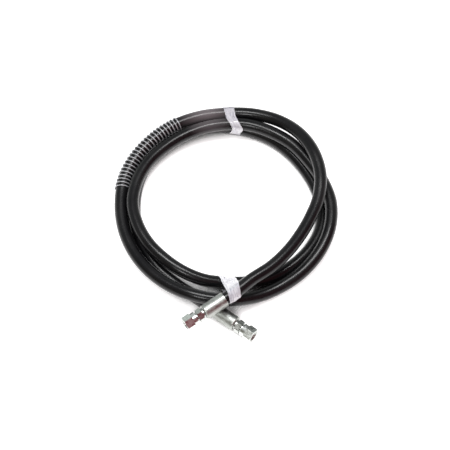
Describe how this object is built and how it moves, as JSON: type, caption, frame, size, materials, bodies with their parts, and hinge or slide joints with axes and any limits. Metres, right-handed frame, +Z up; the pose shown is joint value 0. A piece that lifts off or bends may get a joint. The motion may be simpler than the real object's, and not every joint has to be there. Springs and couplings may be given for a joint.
{
  "type": "hydraulic hose assembly",
  "caption": "Coiled rubber hydraulic hose with crimped female swivel fittings on its ends, a wire spring guard over one stretch and film tie straps round the coil.",
  "frame": {"origin": "middle of the footprint, on the surface the coil lies on", "axes": "+Z up, the coil lies in the XY plane; both fittings leave the coil towards -Y, one towards -X and one towards +X"},
  "size_m": [0.3578, 0.4131, 0.0643],
  "materials": {
    "hose_cover": "semi-gloss smooth extruded cover",
    "tube_rubber": "smooth oil-resistant inner rubber",
    "braid_wire": "brass-coated braided steel wire",
    "zinc_ferrule": "bright zinc plate, crimped",
    "zinc_stem": "bright zinc plate, machined",
    "zinc_nut": "bright zinc plate, satin",
    "spring_wire": "drawn spring wire, zinc plated",
    "strap_film": "crumpled translucent film"
  },
  "bodies": {
    "hose": {"hose_lead_a": "hose_cover", "hose_turn_1": "hose_cover", "hose_turn_2": "hose_cover", "hose_turn_3": "hose_cover", "hose_lead_b": "hose_cover", "outer_cover": "hose_cover", "inner_tube": "tube_rubber", "rubber_separator": "tube_rubber", "wire_braid_inner": "braid_wire", "wire_braid_outer": "braid_wire", "ferrule_a": "zinc_ferrule", "ferrule_b": "zinc_ferrule", "stem_a": "zinc_stem", "stem_b": "zinc_stem", "retaining_wire_a": "spring_wire", "retaining_wire_b": "spring_wire", "spring_guard": "spring_wire", "tie_strap_top": "strap_film", "tie_strap_bottom": "strap_film"},
    "nut_a": {"swivel_nut_a": "zinc_nut"},
    "nut_b": {"swivel_nut_b": "zinc_nut"}
  },
  "joints": [
    {"name": "swivel_a", "type": "hinge", "parent": "hose", "child": "nut_a", "pos_m": [-0.04786, -0.18307, 0.04678], "axis": [-0.8259, -0.5571, -0.0872], "continuous": true},
    {"name": "swivel_b", "type": "hinge", "parent": "hose", "child": "nut_b", "pos_m": [0.03042, -0.1876, 0.0137], "axis": [0.7986, -0.6018, 0], "continuous": true}
  ]
}
